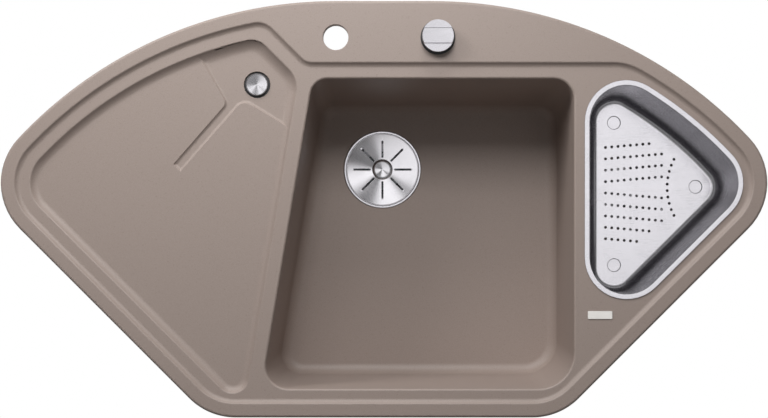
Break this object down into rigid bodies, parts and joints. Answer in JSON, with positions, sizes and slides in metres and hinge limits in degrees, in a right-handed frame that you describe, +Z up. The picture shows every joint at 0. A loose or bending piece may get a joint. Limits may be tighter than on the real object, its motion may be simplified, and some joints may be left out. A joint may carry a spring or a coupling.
{
  "type": "corner kitchen sink",
  "caption": "Drop-in corner sink with drainer, main bowl, small bowl with lift-out colander, remote drain knob, overflow and waste trap.",
  "frame": {"origin": "on the worktop plane, under the middle of the front rim's seat strip, 10 mm behind the front edge", "axes": "+X to the right, +Y to the back edge, +Z up"},
  "size_m": [1.0566, 0.575, 0.4682],
  "materials": {
    "stone": "moulded composite of quartz and resin, fine-grained, matt taupe",
    "satin_steel": "satin brushed stainless steel",
    "polished_steel": "smooth pressed stainless steel",
    "zinc_steel": "zinc-plated steel",
    "black_plastic": "moulded black plastic",
    "grey_plastic": "moulded grey pipe plastic",
    "white_plastic": "moulded white plastic",
    "rubber": "black sealing rubber"
  },
  "bodies": {
    "sink_unit": {"sink_body": "stone", "badge_plate": "satin_steel", "clip_left_back": "zinc_steel", "clip_left_front": "zinc_steel", "clip_right_back": "zinc_steel", "clip_right_front": "zinc_steel", "clip_screw_left_back": "zinc_steel", "clip_screw_left_front": "zinc_steel", "clip_screw_right_back": "zinc_steel", "clip_screw_right_front": "zinc_steel", "knob_base_ring": "black_plastic", "knob_washer": "rubber", "knob_nut": "zinc_steel", "knob_housing": "black_plastic", "knob_housing_cover": "black_plastic", "overflow_cap": "satin_steel", "overflow_grate": "black_plastic", "overflow_screw": "zinc_steel", "overflow_seal": "rubber", "overflow_funnel": "black_plastic", "main_drain_cup": "satin_steel", "main_flange_seal": "rubber", "main_gasket": "rubber", "main_locknut": "black_plastic", "main_waste_body": "black_plastic", "small_drain_cup": "satin_steel", "small_flange_seal": "rubber", "small_gasket": "rubber", "small_locknut": "black_plastic", "small_waste_body": "black_plastic", "lift_housing": "black_plastic", "lift_housing_cover": "black_plastic", "control_cable": "black_plastic", "waste_tee": "grey_plastic", "connecting_pipe": "grey_plastic", "overflow_pipe": "grey_plastic", "trap_bend": "grey_plastic", "trap_arm": "grey_plastic", "main_waste_nut": "black_plastic", "small_waste_nut": "black_plastic", "connecting_nut": "black_plastic", "overflow_top_nut": "black_plastic", "overflow_tee_nut": "black_plastic", "trap_inlet_nut": "black_plastic", "trap_outlet_nut": "black_plastic"},
    "knob": {"knob_cap": "satin_steel", "knob_spindle": "zinc_steel"},
    "crank": {"lift_crank": "zinc_steel", "lift_drum": "white_plastic"},
    "pin": {"lift_pin": "satin_steel"},
    "main_strainer": {"main_strainer_disc": "satin_steel", "main_strainer_knob": "satin_steel", "main_strainer_stem": "zinc_steel", "main_strainer_seal": "rubber"},
    "small_strainer": {"small_strainer_disc": "satin_steel", "small_strainer_knob": "satin_steel", "small_strainer_stem": "zinc_steel", "small_strainer_seal": "rubber"},
    "colander_basket": {"colander": "polished_steel"}
  },
  "joints": [
    {"name": "knob_turn", "type": "hinge", "parent": "sink_unit", "child": "knob", "pos_m": [0.0743, 0.5145, 0.02], "axis": [0, 0, 1], "range_deg": [0, 90]},
    {"name": "crank_turn", "type": "hinge", "parent": "sink_unit", "child": "crank", "pos_m": [-0.0246, 0.347, -0.242], "axis": [0, -1, 0], "range_deg": [0, 23]},
    {"name": "pin_lift", "type": "slide", "parent": "sink_unit", "child": "pin", "axis": [0, 0, 1], "range_m": [0, 0.008]},
    {"name": "main_strainer_lift", "type": "slide", "parent": "pin", "child": "main_strainer", "axis": [0, 0, 1], "range_m": [0, 0.25]},
    {"name": "small_strainer_lift", "type": "slide", "parent": "sink_unit", "child": "small_strainer", "axis": [0, 0, 1], "range_m": [0, 0.02]},
    {"name": "colander_lift", "type": "slide", "parent": "sink_unit", "child": "colander_basket", "axis": [0, 0, 1], "range_m": [0, 0.2]}
  ],
  "couplings": [
    {"joint": "crank_turn", "follows": "knob_turn", "ratio": 0.2555},
    {"joint": "pin_lift", "follows": "knob_turn", "m_per_rad": 0.00509}
  ]
}
